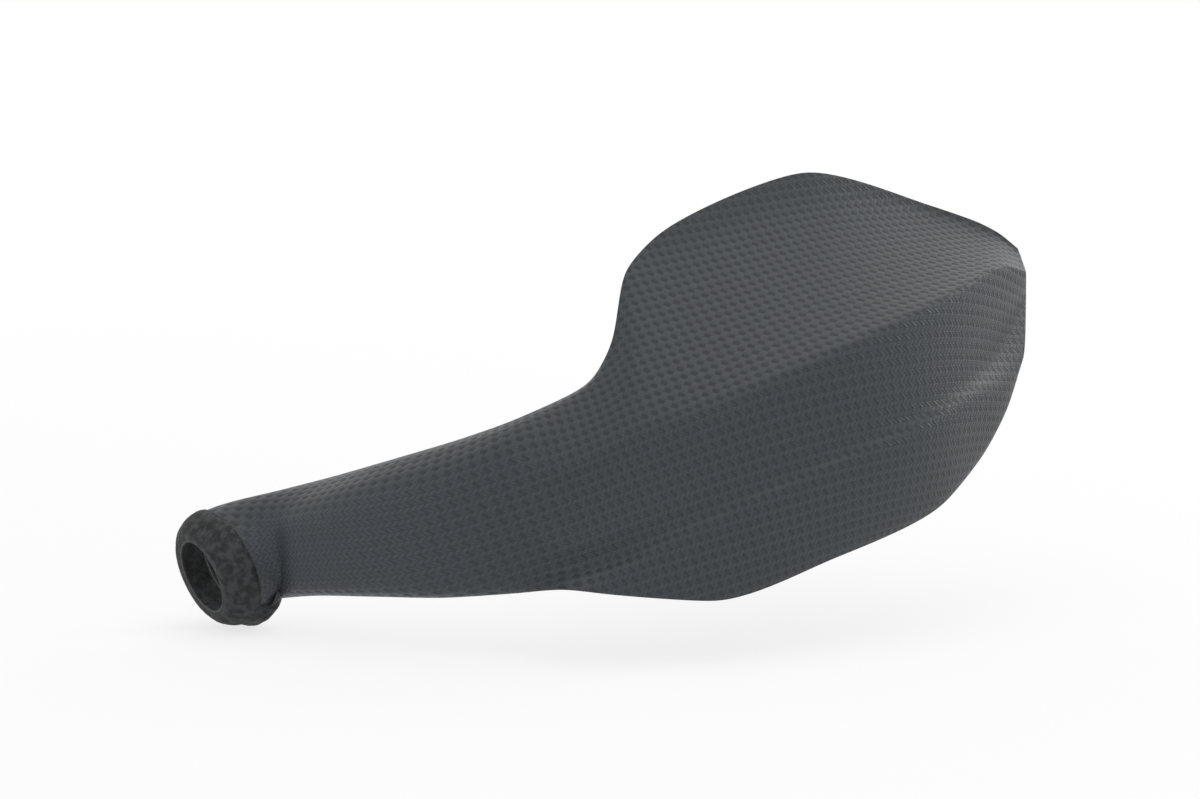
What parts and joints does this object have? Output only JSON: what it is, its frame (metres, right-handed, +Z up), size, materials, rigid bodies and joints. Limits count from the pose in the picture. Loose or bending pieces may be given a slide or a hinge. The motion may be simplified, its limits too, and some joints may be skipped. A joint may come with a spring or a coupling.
{
  "type": "motorcycle hand guard",
  "caption": "Open-backed hand guard in woven laminate: creased wind deflector on a curved arm that ends in a domed collar for the bar end.",
  "frame": {"origin": "on the bar-end bore's axis, in the middle of the length of its full-diameter wall", "axes": "+X inboard along the blade's length, +Y rearward towards the rider, +Z up; the bar's axis rises 17.7 degrees towards the inner end"},
  "size_m": [0.2503, 0.1486, 0.132],
  "materials": {
    "woven_laminate": "satin clear coat over a plain woven carbon laminate",
    "forged_composite": "matt moulded short-fibre composite with a faint mottle"
  },
  "bodies": {
    "root": {"guard_shell": "woven_laminate", "bar_end_collar": "forged_composite"}
  },
  "joints": []
}
